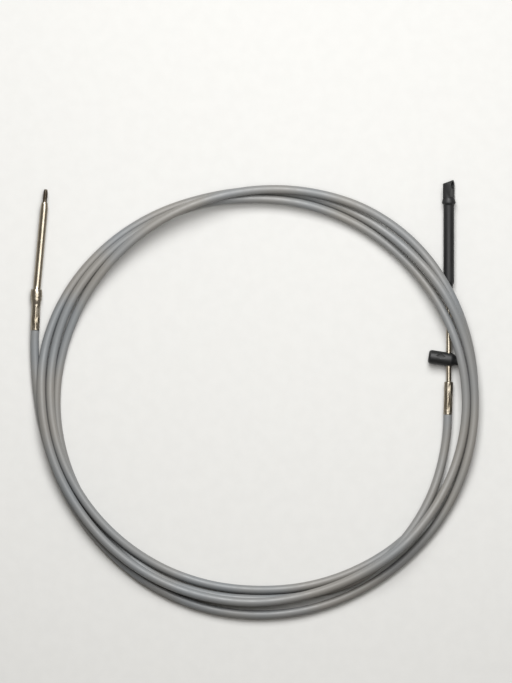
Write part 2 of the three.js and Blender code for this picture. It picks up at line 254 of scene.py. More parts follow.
@dataclass(frozen=True)
class ExtrudedPolyethylene:
    """Satin grey jacket, extruded over the armour wires."""

    cool: str = "6c6f71"
    warm: str = "73716d"
    patch: float = 70 * MM         # how far apart the cooler and warmer stretches lie
    mottle: float = 6 * MM         # smudges from handling
    die_line: float = 0.6 * MM     # across the lines that the extrusion die leaves, drawn coarse
    die_line_length: float = 90 * MM
    die_line_depth: float = 0.012 * MM

    def material(self) -> bpy.types.Material:
        """Builds the jacket's material.

        Returns:
            The material.
        """
        material, tree = blank_material("extruded polyethylene jacket")
        # the grey drifts between cool and warm along the conduit, and the die's fine lines
        # stretch the light along it
        place = add_node(tree, "ShaderNodeTexCoord")
        drift = add_node(tree, "ShaderNodeTexNoise", {"Scale": 1 / self.patch, "Detail": 1.0},
                         {"Vector": place.outputs["Object"]})
        smudge = add_node(tree, "ShaderNodeTexNoise", {"Scale": 1 / self.mottle, "Detail": 3.0},
                          {"Vector": place.outputs["Object"]})
        colour = blend_of(tree, spread(tree, drift.outputs["Fac"], 0, 1), self.cool, self.warm)
        round_and_along = add_node(tree, "ShaderNodeMapping", {
            "Scale": (math.pi * JACKET_DIAMETER / self.die_line, 1 / self.die_line_length, 1),
        }, {"Vector": place.outputs["UV"]})
        lines = add_node(tree, "ShaderNodeTexNoise", {"Scale": 1.0, "Detail": 2.0},
                         {"Vector": round_and_along.outputs["Vector"]})
        gloss = spread(tree, smudge.outputs["Fac"], 0.42, 0.52)
        finish_surface(tree, {"IOR": 1.51, "Specular IOR Level": 0.5},
                       {"Base Color": colour, "Roughness": gloss},
                       lines.outputs["Fac"], self.die_line_depth)
        return material


@dataclass(frozen=True)
class WorkedSteel:
    """Steel with marks along the piece's own Y axis, plated or bare."""

    name: str
    base: str
    worn: str
    smooth: float
    rough: float
    mark: float            # across the marks, drawn as coarse as they need to show
    mark_length: float
    depth: float

    def material(self) -> bpy.types.Material:
        """Builds the steel's material.

        Returns:
            The material.
        """
        material, tree = blank_material(self.name)
        place = add_node(tree, "ShaderNodeTexCoord")
        stretched = add_node(tree, "ShaderNodeMapping", {
            "Scale": (1 / self.mark, 1 / self.mark_length, 1 / self.mark),
        }, {"Vector": place.outputs["Object"]})
        marks = add_node(tree, "ShaderNodeTexNoise", {"Scale": 1.0, "Detail": 3.0},
                         {"Vector": stretched.outputs["Vector"]})
        tarnish = add_node(tree, "ShaderNodeTexNoise", {"Scale": 1 / (9 * MM), "Detail": 2.0},
                           {"Vector": place.outputs["Object"]})
        colour = blend_of(tree, spread(tree, tarnish.outputs["Fac"], 0, 1), self.base, self.worn)
        gloss = spread(tree, marks.outputs["Fac"], self.smooth, self.rough)
        finish_surface(tree, {"Metallic": 1.0}, {"Base Color": colour, "Roughness": gloss},
                       marks.outputs["Fac"], self.depth)
        return material


# Thin-walled tube drawn bright: long fine lines pull the reflection of the lamp into one stripe
DRAWN_STAINLESS = WorkedSteel("drawn stainless tube", "a1998a", "958c7d", 0.24, 0.30,
                              0.5 * MM, 40 * MM, 0.002 * MM)
# Nickel over turned and crimped steel: warmer and duller, with smears from the crimping die
NICKEL_PLATE = WorkedSteel("nickel plated steel", "a0988a", "8f8676", 0.24, 0.33,
                           0.9 * MM, 7 * MM, 0.004 * MM)
# Bare rolled thread of the rod: darker, oiled
OILED_STEEL = WorkedSteel("oiled rolled steel", "7d756a", "5c544a", 0.26, 0.40,
                          0.8 * MM, 5 * MM, 0.006 * MM)


@dataclass(frozen=True)
class MouldedPolymer:
    """Moulded black plastic or rubber with the fine grain of its mould."""

    name: str
    base: str
    rubbed: str
    smooth: float
    rough: float
    index: float
    grain: float
    depth: float

    def material(self) -> bpy.types.Material:
        """Builds the polymer's material.

        Returns:
            The material.
        """
        material, tree = blank_material(self.name)
        place = add_node(tree, "ShaderNodeTexCoord")
        grain = add_node(tree, "ShaderNodeTexNoise", {"Scale": 1 / self.grain, "Detail": 4.0},
                         {"Vector": place.outputs["Object"]})
        flow = add_node(tree, "ShaderNodeTexNoise", {"Scale": 1 / (12 * MM), "Detail": 2.0},
                        {"Vector": place.outputs["Object"]})
        colour = blend_of(tree, spread(tree, flow.outputs["Fac"], 0, 1), self.base, self.rubbed)
        gloss = spread(tree, flow.outputs["Fac"], self.smooth, self.rough)
        finish_surface(tree, {"IOR": self.index}, {"Base Color": colour, "Roughness": gloss},
                       grain.outputs["Fac"], self.depth)
        return material


# Glass-filled nylon out of a spark-eroded mould: near black, satin, a little bluish in the light
GLASS_FILLED_NYLON = MouldedPolymer("glass filled nylon", "090a0b", "0f1011", 0.50, 0.58,
                                    1.46, 0.5 * MM, 0.004 * MM)
# Nitrile rubber wiper: black and matt
NITRILE_RUBBER = MouldedPolymer("nitrile rubber", "0e0f0f", "151616", 0.58, 0.70,
                                1.48, 0.8 * MM, 0.012 * MM)
# Painted studio board: pale and matt
STUDIO_BOARD = MouldedPolymer("pale studio board", "bcbcba", "bebebc", 0.80, 0.85,
                              1.45, 3.0 * MM, 0.002 * MM)


@dataclass(frozen=True)
class Axis:
    """Where a fitting starts and the level direction that it points in."""

    start: Vector
    along: Vector

    def point(self, distance: float) -> Vector:
        """Gives the point at a distance along the axis."""
        return self.start + self.along * distance

    def moved(self, distance: float) -> "Axis":
        """Gives the same direction from a start further along."""
        return Axis(self.point(distance), self.along)

    def matrix(self) -> Matrix:
        """Gives the matrix that lays a piece's own +Y along the axis."""
        across = self.along.cross(UP)
        turn = Matrix((across, self.along, UP)).transposed().to_4x4()
        return Matrix.Translation(self.start) @ turn


def heading(degrees: float) -> Vector:
    """Gives the level direction that lies that many degrees from +Y towards -X."""
    return Vector((-math.sin(math.radians(degrees)), math.cos(math.radians(degrees)), 0))


def new_piece(name: str, mesh: bpy.types.Mesh, axis: Axis | None = None) -> bpy.types.Object:
    """Puts a mesh into the scene as a piece.

    Args:
        name: the piece's name.
        mesh: its mesh.
        axis: the axis that its own +Y lies along; None leaves it in the row frame.

    Returns:
        The piece.
    """
    piece = bpy.data.objects.new(name, mesh)
    bpy.context.scene.collection.objects.link(piece)
    if axis is not None:
        piece.matrix_world = axis.matrix()
    return piece


def smoothed(mesh: bpy.types.Mesh, sharp_over: float = 40) -> bpy.types.Mesh:
    """Shades a mesh smooth, but for edges that turn by more than an angle.

    Args:
        mesh: the mesh.
        sharp_over: that angle in degrees.

    Returns:
        The same mesh.
    """
    mesh.shade_smooth()
    mesh.set_sharp_from_angle(angle=math.radians(sharp_over))
    return mesh


def eased(profile: Profile, reach: float, steps: int = 4) -> Profile:
    """Rounds the inner corners of a profile, as a tool or a mould leaves them.

    Args:
        profile: (radius, distance along) pairs.
        reach: how far from each corner its rounding starts.
        steps: stretches in each rounding.

    Returns:
        The rounded profile.
    """
    points = [Vector(p) for p in profile]
    rounded = [points[0]]
    for before, corner, after in zip(points, points[1:], points[2:]):
        back, ahead = before - corner, after - corner
        cut = min(reach, 0.4 * back.length, 0.4 * ahead.length)
        first = corner + back.normalized() * cut
        last = corner + ahead.normalized() * cut
        for i in range(steps + 1):
            t = i / steps
            rounded.append(first * (1 - t) ** 2 + corner * 2 * t * (1 - t) + last * t ** 2)
    rounded.append(points[-1])
    return [(p.x, p.y) for p in rounded]


def finely(profile: Profile, step: float) -> Profile:
    """Adds points to a profile, so that a relief has something to move.

    Args:
        profile: (radius, distance along) pairs.
        step: the longest stretch that stays.

    Returns:
        The finer profile.
    """
    fine = [profile[0]]
    for (r0, y0), (r1, y1) in zip(profile, profile[1:]):
        count = max(1, math.ceil(math.hypot(r1 - r0, y1 - y0) / step))
        fine += [(r0 + (r1 - r0) * i / count, y0 + (y1 - y0) * i / count)
                 for i in range(1, count + 1)]
    return fine


def quarter(from_radius: float, to_radius: float, start: float, length: float,
            steps: int = 10) -> Profile:
    """Rounds off from one radius to another over a length.

    Args:
        from_radius: the radius at the start.
        to_radius: the radius at the end.
        start: the distance along where it starts.
        length: how long it is.
        steps: its stretches.

    Returns:
        Profile points.
    """
    turns = [math.pi / 2 * i / steps for i in range(steps + 1)]
    return [(to_radius + (from_radius - to_radius) * math.cos(t), start + length * math.sin(t))
            for t in turns]


def ball_arc(middle: float, radius: float, low: float, high: float, steps: int) -> Profile:
    """Gives points on a ball's outline.

    Args:
        middle: the distance along of the ball's middle.
        radius: the ball's radius.
        low: the first angle above the middle, in degrees.
        high: the last one.
        steps: stretches between them.

    Returns:
        Profile points.
    """
    turns = [math.radians(low + (high - low) * i / steps) for i in range(steps + 1)]
    return [(max(0.0, radius * math.cos(t)), middle + radius * math.sin(t)) for t in turns]


def turned(profile: Profile, sides: int = 96, relief: Relief | None = None) -> bpy.types.Mesh:
    """Turns a profile about its own Y axis into a closed mesh.

    Args:
        profile: (radius, distance along) pairs that go up the outside. It starts and ends on
            the axis, or ends where it started.
        sides: how many sides the mesh has.
        relief: gives a point's radius from its turn in radians, its distance along and its
            plain radius.

    Returns:
        The mesh.
    """
    shape = bmesh.new()
    ring_closed = profile[0] == profile[-1]
    stations = profile[:-1] if ring_closed else profile
    rings = []
    for radius, along in stations:
        if radius < 1e-7:
            rings.append([shape.verts.new((0, along, 0))])
            continue
        ring = []
        for i in range(sides):
            turn = 2 * math.pi * i / sides
            r = relief(turn, along, radius) if relief else radius
            ring.append(shape.verts.new((r * math.sin(turn), along, r * math.cos(turn))))
        rings.append(ring)
    pairs = list(zip(rings, rings[1:]))
    if ring_closed:
        pairs.append((rings[-1], rings[0]))
    for low, high in pairs:
        for i in range(sides):
            j = (i + 1) % sides
            corners = [low[i % len(low)], low[j % len(low)], high[j % len(high)],
                       high[i % len(high)]]
            face = list(dict.fromkeys(corners))
            if len(face) > 2:
                shape.faces.new(face)
    bmesh.ops.recalc_face_normals(shape, faces=shape.faces)
    mesh = bpy.data.meshes.new("turned")
    shape.to_mesh(mesh)
    shape.free()
    return smoothed(mesh)


def prism(outline: list[tuple[float, float]], depth: float) -> bpy.types.Mesh:
    """Extrudes an outline in the X-Y plane, half its depth to each side.

    Args:
        outline: the corners, anticlockwise.
        depth: its whole depth along Z.

    Returns:
        The mesh.
    """
    shape = bmesh.new()
    low = [shape.verts.new((x, y, -depth / 2)) for x, y in outline]
    high = [shape.verts.new((x, y, depth / 2)) for x, y in outline]
    shape.faces.new(list(reversed(low)))
    shape.faces.new(high)
    for i in range(len(outline)):
        j = (i + 1) % len(outline)
        shape.faces.new([low[i], low[j], high[j], high[i]])
    mesh = bpy.data.meshes.new("prism")
    shape.to_mesh(mesh)
    shape.free()
    return mesh


def settle(piece: bpy.types.Object) -> None:
    """Turns a piece's modifiers into its mesh."""
    bpy.context.view_layer.update()
    made = piece.evaluated_get(bpy.context.evaluated_depsgraph_get())
    plain = piece.data
    piece.data = bpy.data.meshes.new_from_object(made)
    piece.modifiers.clear()
    bpy.data.meshes.remove(plain)


def combine(piece: bpy.types.Object, tool: bpy.types.Object, join: Join) -> None:
    """Cuts a tool out of a piece, or adds it, and removes the tool.

    Args:
        piece: the piece that changes.
        tool: the other solid.
        join: whether it is cut or added.
    """
    boolean = piece.modifiers.new("join", "BOOLEAN")
    boolean.operation = join.value
    boolean.solver = "EXACT"
    boolean.object = tool
    settle(piece)
    bpy.data.objects.remove(tool)


def soften(piece: bpy.types.Object, width: float, over: float = 35) -> None:
    """Rounds a moulded piece's edges.

    Args:
        piece: the piece.
        width: how wide each rounding is.
        over: the least angle between two faces that is rounded, in degrees.
    """
    bevel = piece.modifiers.new("edge", "BEVEL")
    bevel.limit_method = "ANGLE"
    bevel.angle_limit = math.radians(over)
    bevel.width = width
    bevel.segments = 3
    bevel.use_clamp_overlap = True
    settle(piece)
    smoothed(piece.data, 40)


def dress(piece: bpy.types.Object, material: bpy.types.Material, body: Body,
          node: str) -> bpy.types.Object:
    """Gives a piece its material and its body, and hides the CAD node that it stands for.

    Args:
        piece: the piece.
        material: its material.
        body: the body that it moves with.
        node: the CAD node that it replaces.

    Returns:
        The same piece.
    """
    piece.data.materials.clear()
    piece.data.materials.append(material)
    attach(piece, body.value)
    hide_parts(node)
    return piece


@dataclass(frozen=True)
class Crimp:
    """Flats that a crimping die presses into a sleeve, with edges that zigzag into diamonds."""

    start: float
    end: float
    flats: int
    depth: float
    swing: float           # degrees that the flats' edges sway to each side
    pitch: float           # length of one sway there and back
    over: float            # presses only radii over this, and so leaves the bore round
    turn: float = 0        # degrees that the first flat is turned from straight up
    straight: float = 0    # length before the end in which the edges stay straight
    lead: float = 0.8 * MM     # length over which the flats deepen at each end

    def radius(self, turn: float, along: float, radius: float) -> float:
        """Presses the flats into a radius.

        Args:
            turn: the angle round the piece, in radians.
            along: the distance along it.
            radius: the plain radius there.

        Returns:
            The pressed radius.
        """
        inside = min(along - self.start, self.end - along) / self.lead
        if inside <= 0 or radius <= self.over:
            return radius
        sway_at = max(0.0, self.end - along - self.straight) / self.pitch
        sway = abs((sway_at + 0.25) % 1 - 0.5) * 4 - 1
        step = 2 * math.pi / self.flats
        phase = math.radians(self.turn + self.swing * sway)
        from_middle = (turn - phase + step / 2) % step - step / 2
        flat = (radius - self.depth) / math.cos(from_middle)
        return radius + min(1.0, inside) * (min(radius, flat) - radius)


@dataclass(frozen=True)
class Thread:
    """A rolled vee thread."""

    start: float
    end: float
    pitch: float = 25.4 / 32 * MM
    depth: float = 0.42 * MM

    def radius(self, turn: float, along: float, radius: float) -> float:
        """Rolls the thread into a radius.

        Args:
            turn: the angle round the piece, in radians.
            along: the distance along it.
            radius: the plain radius there.

        Returns:
            The rolled radius.
        """
        fade = min(1.0, max(0.0, min(along - self.start, self.end - along) / self.pitch))
        wave = (along / self.pitch - turn / (2 * math.pi)) % 1
        vee = 1 - abs(2 * wave - 1)
        return radius - fade * self.depth * min(1.0, 1.25 * vee)


@dataclass
class Conduit:
    """The jacketed conduit, a smooth tube on its route."""

    centre: Vector
    step: float = 4 * MM       # between the rings of the tube
    sides: int = 28
    tucked: float = 4 * MM     # how far each end goes into its crimp

    def station(self, index: int) -> tuple[float, float, float]:
        """Gives a station's angle in radians, its distance from the centre and its height."""
        angle, outwards, height = ROUTE[index]
        return math.radians(angle), COIL_RADIUS + outwards, height

    def slope(self, index: int, part: int) -> float:
        """Gives how a station's distance (1) or height (2) changes with the angle."""
        before = self.station(max(index - 1, 0))
        after = self.station(min(index + 1, len(ROUTE) - 1))
        return (after[part] - before[part]) / (after[0] - before[0])

    def end(self, index: int) -> Vector:
        """Gives the point of a station."""
        angle, radius, height = self.station(index)
        return self.centre + Vector((radius * math.cos(angle), radius * math.sin(angle), height))

    def path(self) -> list[Vector]:
        """Works out the centreline, as cubic stretches in the angle.

        Returns:
            Points about one step apart, from the input hub to the output ferrule.
        """
        points = []
        for i in range(len(ROUTE) - 1):
            start, stop = self.station(i), self.station(i + 1)
            span = stop[0] - start[0]
            count = max(2, round(span * start[1] / self.step))
            for k in range(count + (i == len(ROUTE) - 2)):
                t = k / count
                radius, height = (
                    (2 * t ** 3 - 3 * t ** 2 + 1) * start[part]
                    + (t ** 3 - 2 * t ** 2 + t) * span * self.slope(i, part)
                    + (3 * t ** 2 - 2 * t ** 3) * stop[part]
                    + (t ** 3 - t ** 2) * span * self.slope(i + 1, part)
                    for part in (1, 2)
                )
                angle = start[0] + span * t
                points.append(self.centre + Vector((
                    radius * math.cos(angle), radius * math.sin(angle), max(LAID, height))))
        return points

    def build(self, into_hub: Vector, into_ferrule: Vector) -> tuple[bpy.types.Object, list]:
        """Builds the tube.

        Args:
            into_hub: the direction in which the input end goes into its crimp.
            into_ferrule: the same for the output end.

        Returns:
            The piece and its centreline.
        """
        path = self.path()
        path = [path[0] + into_hub * self.tucked, *path, path[-1] + into_ferrule * self.tucked]
        shape = bmesh.new()
        wrap = shape.loops.layers.uv.new("round_and_along")
        rings = []
        along = [0.0]
        for before, here in zip(path, path[1:]):
            along.append(along[-1] + (here - before).length)
        for i, here in enumerate(path):
            forward = (path[min(i + 1, len(path) - 1)] - path[max(i - 1, 0)]).normalized()
            side = forward.cross(UP).normalized()
            top = side.cross(forward)
            rings.append([
                shape.verts.new(here + (side * math.cos(turn) + top * math.sin(turn)) * LAID)
                for turn in (2 * math.pi * k / self.sides for k in range(self.sides))
            ])
        for i, (ring, following) in enumerate(zip(rings, rings[1:])):
            for k in range(self.sides):
                j = (k + 1) % self.sides
                face = shape.faces.new([ring[k], following[k], following[j], ring[j]])
                for loop, (u, v) in zip(face.loops, ((k, i), (k, i + 1), (k + 1, i + 1),
                                                     (k + 1, i))):
                    loop[wrap].uv = (u / self.sides, along[v])
        shape.faces.new(rings[0])
        shape.faces.new(list(reversed(rings[-1])))
        bmesh.ops.recalc_face_normals(shape, faces=shape.faces)
        mesh = bpy.data.meshes.new("conduit_tube")
        shape.to_mesh(mesh)
        shape.free()
        piece = new_piece("conduit_tube", smoothed(mesh, 60))
        return piece, path


@dataclass
class InputEnd:
    """The end for the control box: crimped hub, swivelling sleeve and threaded rod."""

    start: Vector
    pivot: Vector
    out: Vector                            # the way that the sleeve points
    hub_heading: float = -2.2
    crimp_length: float = 24.4 * MM
    hub_diameter: float = 10.8 * MM
    hub_length: float = 13.9 * MM
    hub_cone: float = 3.0 * MM
    groove_depth: float = 0.65 * MM
    groove_width: float = 0.7 * MM
    ring_width: float = 2.0 * MM
    ring_step: float = 0.2 * MM
    hub_rounding: float = 4.4 * MM
    rim: float = 0.25 * MM
    mouth_diameter: float = 8.6 * MM
    mouth_depth: float = 1.0 * MM
    socket_diameter: float = 9.6 * MM
    pivot_below_mouth: float = 3.8 * MM
    sleeve_diameter: float = 7.2 * MM
    sleeve_root: float = 5.6 * MM
    rod_engaged: float = 25.4 * MM
    rod_diameter: float = 4.8 * MM
    rod_neck_diameter: float = 3.9 * MM
    rod_neck_length: float = 1.4 * MM
    rod_shoulder: float = 0.5 * MM         # length of the slope down to the neck
    rod_thread_length: float = 4 * MM
    rod_nose_length: float = 4.2 * MM
    rod_tip_diameter: float = 1.6 * MM
    rod_shown: float = 12.2 * MM
    swage_length: float = 7 * MM           # at the sleeve's mouth, where it is rolled in

    @property
    def hub_axis(self) -> Axis:
        """The hub's axis, from the conduit's end."""
        return Axis(self.start, heading(self.hub_heading))

    @property
    def sleeve_axis(self) -> Axis:
        """The sleeve's axis, from the swivel's middle."""
        return Axis(self.pivot, self.out)

    @property
    def sleeve_length(self) -> float:
        """From the swivel's middle to the sleeve's mouth."""
        return self.sleeve_root + BORE_END_ROOM + TRAVEL + self.rod_engaged

    def hub(self) -> bpy.types.Object:
        """Builds the hub with its crimp, its two clamp grooves and its socket.

        Returns:
            The piece.
        """
        crimp = CRIMP_DIAMETER / 2
        outer = self.hub_diameter / 2
        groove = outer - self.groove_depth
        ring = outer - self.ring_step
        mouth = self.mouth_diameter / 2
        socket = self.socket_diameter / 2
        ring_at = self.crimp_length + self.hub_cone + self.groove_width
        ring_end = ring_at + self.ring_width
        end = self.crimp_length + self.hub_length
        bore = CRIMP_BORE
        skirt = 0.6 * MM           # length of the crimp's edge, rolled in at the conduit
        rolled = 0.16 * MM         # how far it is rolled in
        core = socket * 0.17       # radius of the passage for the core wire
        outside = eased([
            (bore, SEAT_GAP), (crimp - rolled, SEAT_GAP), (crimp, SEAT_GAP + skirt),
            (crimp, self.crimp_length), (groove, self.crimp_length + self.hub_cone),
            (groove, ring_at), (ring, ring_at), (ring, ring_end), (groove, ring_end),
            (groove, ring_end + self.groove_width), (outer, ring_end + self.groove_width),
            (outer, end - self.hub_rounding),
        ], 0.18 * MM)
        rounding = quarter(outer, mouth + self.rim, end - self.hub_rounding, self.hub_rounding)
        lip = math.degrees(math.acos(mouth / socket))
        seat = end - self.pivot_below_mouth
        inside = [(mouth, end), (mouth, end - self.mouth_depth),
                  *ball_arc(seat, socket, lip, -80, 16),
                  (core, self.crimp_length + self.hub_cone),
                  (core, CRIMP_BORE_END), (bore, CRIMP_BORE_END)]
        profile = finely([*outside, *rounding[1:], *inside, outside[0]], 0.5 * MM)
        die = Crimp(start=1.6 * MM, end=22.4 * MM, flats=8, depth=0.2 * MM, swing=11,
                    pitch=13 * MM, over=bore + rolled / 4, turn=22.5, straight=9 * MM)
        return new_piece("hub_and_crimp", turned(profile, 144, die.radius), self.hub_axis)

    def sleeve(self) -> bpy.types.Object:
        """Builds the sleeve with its ball and its swaged mouth.

        Returns:
            The piece.
        """
        ball = self.socket_diameter / 2 - SEAT_GAP
        outer = self.sleeve_diameter / 2
        bore = self.rod_diameter / 2 + SLIDING_CLEARANCE
        top = self.sleeve_length
        swage = top - self.swage_length
        lip = math.degrees(math.acos(outer / ball))
        body = eased([
            (outer, 10 * MM), (outer, swage), (outer - 0.1 * MM, top - 5 * MM),
            (outer - 0.33 * MM, top - 3.2 * MM), (outer - 0.5 * MM, top - 1.5 * MM),
            (outer - 0.85 * MM, top), (bore, top),
            (bore, self.sleeve_root),
        ], 0.3 * MM)
        profile = [*ball_arc(0, ball, -90, lip, 24), *body, (0, self.sleeve_root)]
        return new_piece("swivel_sleeve", turned(profile), self.sleeve_axis)

    def rod(self) -> bpy.types.Object:
        """Builds the rod with its neck and its rolled thread.

        Returns:
            The piece.
        """
        radius = self.rod_diameter / 2
        neck = self.rod_neck_diameter / 2
        mouth = self.sleeve_length
        neck_at = mouth + self.rod_shoulder
        tip = mouth + self.rod_shown
        nose = tip - self.rod_nose_length
        thread_start = nose - self.rod_thread_length
        shank = eased([
            (0, self.sleeve_root + BORE_END_ROOM), (radius, self.sleeve_root + BORE_END_ROOM),
            (radius, mouth), (neck, neck_at), (neck, neck_at + self.rod_neck_length),
            (radius, thread_start), (radius, nose),
        ], 0.3 * MM)
        flat = self.rod_tip_diameter / 2
        end = [*quarter(radius, flat, nose, self.rod_nose_length, 14)[1:], (0, tip)]
        thread = Thread(mouth + 2.6 * MM, tip - 0.6 * MM)
        head = [p for p in shank if p[1] < mouth]
        shown = finely([p for p in shank if p[1] >= mouth] + end[:-1], 0.1 * MM)
        profile = [*head, *shown, end[-1]]
        return new_piece("threaded_rod", turned(profile, 72, thread.radius), self.sleeve_axis)

    def build(self, plate: bpy.types.Material, stainless: bpy.types.Material,
              oiled: bpy.types.Material) -> list[bpy.types.Object]:
        """Builds and dresses the three pieces.

        Args:
            plate: the hub's material.
            stainless: the sleeve's material.
            oiled: the rod's material.

        Returns:
            The pieces.
        """
        return [
            dress(self.hub(), plate, Body.ROOT, "input_hub"),
            dress(self.sleeve(), stainless, Body.SLEEVE, "input_sleeve"),
            dress(self.rod(), oiled, Body.ROD, "input_rod"),
        ]


@dataclass
class OutputEnd:
    """The end for the engine: ferrule, support tube, anchor barrel, seal and casing guide."""

    tube_start: Vector
    ferrule_heading: float = -1.8
    ferrule_length: float = 30.8 * MM
    ferrule_nose: float = 0.7 * MM
    ferrule_lip: float = 0.6 * MM
    tube_diameter: float = 4.8 * MM
    tube_wall: float = 0.8 * MM
    barrel_diameter: float = 12.7 * MM
    barrel_long_arm: float = 18.8 * MM
    barrel_short_arm: float = 10 * MM
    barrel_cone_end: float = 6 * MM
    barrel_nose_diameter: float = 8.4 * MM
    barrel_corner: float = 2.6 * MM
    barrel_at: float = 20.3 * MM
    barrel_turn: float = -8.5
    pocket_length: float = 9.2 * MM
    pocket_width: float = 5.4 * MM
    pocket_depth: float = 2.2 * MM
    pocket_from_axis: float = 3.0 * MM
    pocket_off_axis: float = 2 * MM        # towards the casing guide
    guide_at: float = 86 * MM
    guide_overlap: float = 24 * MM
    guide_diameter: float = 9.8 * MM
    guide_lead: float = 2.8 * MM
    guide_lead_depth: float = 0.9 * MM
    guide_end_wall: float = 7 * MM
    collar_diameter: float = 12.5 * MM
    collar_length: float = 7.3 * MM
    collar_slope: float = 1.4 * MM
    collar_taper: float = 4.4 * MM
    seal_diameter: float = 7.7 * MM
    seal_length: float = 3.0 * MM
    eye_width: float = 10 * MM
    eye_thickness: float = 7.4 * MM
    eye_bore: float = 6.4 * MM
    eye_bore_from_tip: float = 5.2 * MM
    eye_reach: float = 16 * MM
    eye_root: float = 1 * MM
    eye_roll: float = 24
    eye_slant: float = 20.5
    eye_slant_from_tip: float = 1.9 * MM

    @property
    def ferrule_axis(self) -> Axis:
        """The ferrule's axis, from the conduit's end."""
        along = heading(self.ferrule_heading)
        return Axis(self.tube_start - along * self.ferrule_length, along)

    @property
    def tube_axis(self) -> Axis:
        """The support tube's axis, from the ferrule's nose."""
        return Axis(self.tube_start, heading(0))

    @property
    def guide_axis(self) -> Axis:
        """The casing guide's axis, from its seal."""
        return self.tube_axis.moved(self.guide_at)

    @property
    def collar_end(self) -> float:
        """From the seal's face to the end of the guide's collar."""
        return self.guide_overlap + TRAVEL + BORE_END_ROOM + self.guide_end_wall

    def ferrule(self) -> bpy.types.Object:
        """Builds the ferrule with its crimp.

        Returns:
            The piece.
        """
        outer = CRIMP_DIAMETER / 2
        bore = CRIMP_BORE
        skirt = 0.35 * MM          # the crimp's edge, rolled in at the conduit
        nose = self.tube_diameter / 2 + self.ferrule_lip
        outside = eased([
            (bore, SEAT_GAP), (outer - skirt, SEAT_GAP), (outer, SEAT_GAP + skirt),
            (outer, self.ferrule_length - self.ferrule_nose), (nose, self.ferrule_length),
            (0, self.ferrule_length),
        ], 0.3 * MM)
        profile = finely([(0, CRIMP_BORE_END), (bore, CRIMP_BORE_END), *outside], 0.5 * MM)
        die = Crimp(start=1.4 * MM, end=self.ferrule_length - 2.2 * MM, flats=7,
                    depth=0.2 * MM, swing=9, pitch=19 * MM, over=bore + skirt / 4, turn=14)
        return new_piece("crimped_ferrule", turned(profile, 144, die.radius),
                         self.ferrule_axis)

    def tube(self) -> bpy.types.Object:
        """Builds the support tube.

        Returns:
            The piece.
        """
        outer = self.tube_diameter / 2
        bore = outer - self.tube_wall
        end = self.guide_at + self.guide_overlap
        start = SEAT_GAP / 2
        profile = [(bore, start), *eased([(outer, start), (outer, end), (bore, end)], 0.3 * MM),
                   (bore, start)]
        return new_piece("drawn_support_tube", turned(profile, 64), self.tube_axis)

    def barrel(self) -> bpy.types.Object:
        """Builds the anchor barrel with its bore and its diamond pocket.

        Returns:
            The piece.
        """
        outer = self.barrel_diameter / 2
        tube = self.tube_diameter / 2
        corner = self.barrel_corner
        profile = [
            (0, -self.barrel_short_arm),
            *eased([(self.barrel_nose_diameter / 2 - 0.6 * MM, -self.barrel_short_arm),
                    (self.barrel_nose_diameter / 2, -self.barrel_short_arm),
                    (self.barrel_nose_diameter / 2, -self.barrel_cone_end),
                    (outer, -tube), (outer, 4 * tube)], 1.0 * MM),
            *quarter(outer, outer - corner, self.barrel_long_arm - corner, corner),
            (0, self.barrel_long_arm),
        ]
        piece = new_piece("anchor_barrel_body", turned(profile))
        piece.data.transform(Matrix.Rotation(math.radians(90 + self.barrel_turn), 4, "Z"))

        bore = tube + SEAT_GAP
        drill = turned([(0, -outer * 2), (bore, -outer * 2), (bore, outer * 2), (0, outer * 2)], 64)
        combine(piece, new_piece("drill", drill), Join.CUT)

        half, side = self.pocket_length / 2, self.pocket_width / 2
        pocket = prism([(-half, 0), (0, -side), (half, 0), (0, side)], 2 * self.pocket_depth)
        place = Matrix.Translation((-self.pocket_from_axis - half, self.pocket_off_axis, outer))
        pocket.transform(Matrix.Rotation(math.radians(self.barrel_turn), 4, "Z") @ place)
        combine(piece, new_piece("pocket", pocket), Join.CUT)
        soften(piece, 0.35 * MM)
        piece.matrix_world = self.tube_axis.moved(self.barrel_at).matrix()
        return piece

    def seal(self) -> bpy.types.Object:
        """Builds the wiper seal with its two lips.

        Returns:
            The piece.
        """
        outer = self.seal_diameter / 2
        bore = self.tube_diameter / 2 + SLIDING_CLEARANCE
        waist = outer - 0.45 * MM
        length = self.seal_length
        outline = eased([
            (bore, 0), (outer - 0.5 * MM, 0), (outer, 0.5 * MM), (outer, 0.36 * length),
            (waist, 0.46 * length), (waist, 0.62 * length), (outer, 0.72 * length),
            (outer, length), (bore, length),
        ], 0.25 * MM)
        return new_piece("wiper_seal", turned([*outline, outline[0]], 72), self.guide_axis)

    def eye_outline(self) -> list[tuple[float, float]]:
        """Works out the eye's flat outline: straight sides and a round end.

        Returns:
            The corners, anticlockwise.
        """
        half = self.eye_width / 2
        low = self.collar_end - self.eye_root
        middle = self.collar_end + self.eye_reach - half
        steps = 24
        arc = [(half * math.cos(math.pi * i / steps), middle + half * math.sin(math.pi * i / steps))
               for i in range(steps + 1)]
        return [(-half, low), (half, low), *arc]

    def guide(self) -> bpy.types.Object:
        """Builds the casing guide: its barrel, collar and slanted eye.

        Returns:
            The piece.
        """
        outer = self.guide_diameter / 2
        collar = self.collar_diameter / 2
        bore = self.tube_diameter / 2 + SLIDING_CLEARANCE
        start = self.seal_length
        end = self.collar_end
        collar_at = end - self.collar_length
        bore_end = end - self.guide_end_wall
        profile = [
            (bore, start),
            *eased([(bore + 0.4 * MM, start), (outer - self.guide_lead_depth, start),
                    (outer, start + self.guide_lead), (outer, collar_at),
                    (collar, collar_at + self.collar_slope), (collar, end - self.collar_taper),
                    (outer, end), (outer - 2 * MM, end)], 0.7 * MM),
            (0, end), (0, bore_end), (bore, bore_end), (bore, start),
        ]
        body = new_piece("casing_guide_body", turned(profile))

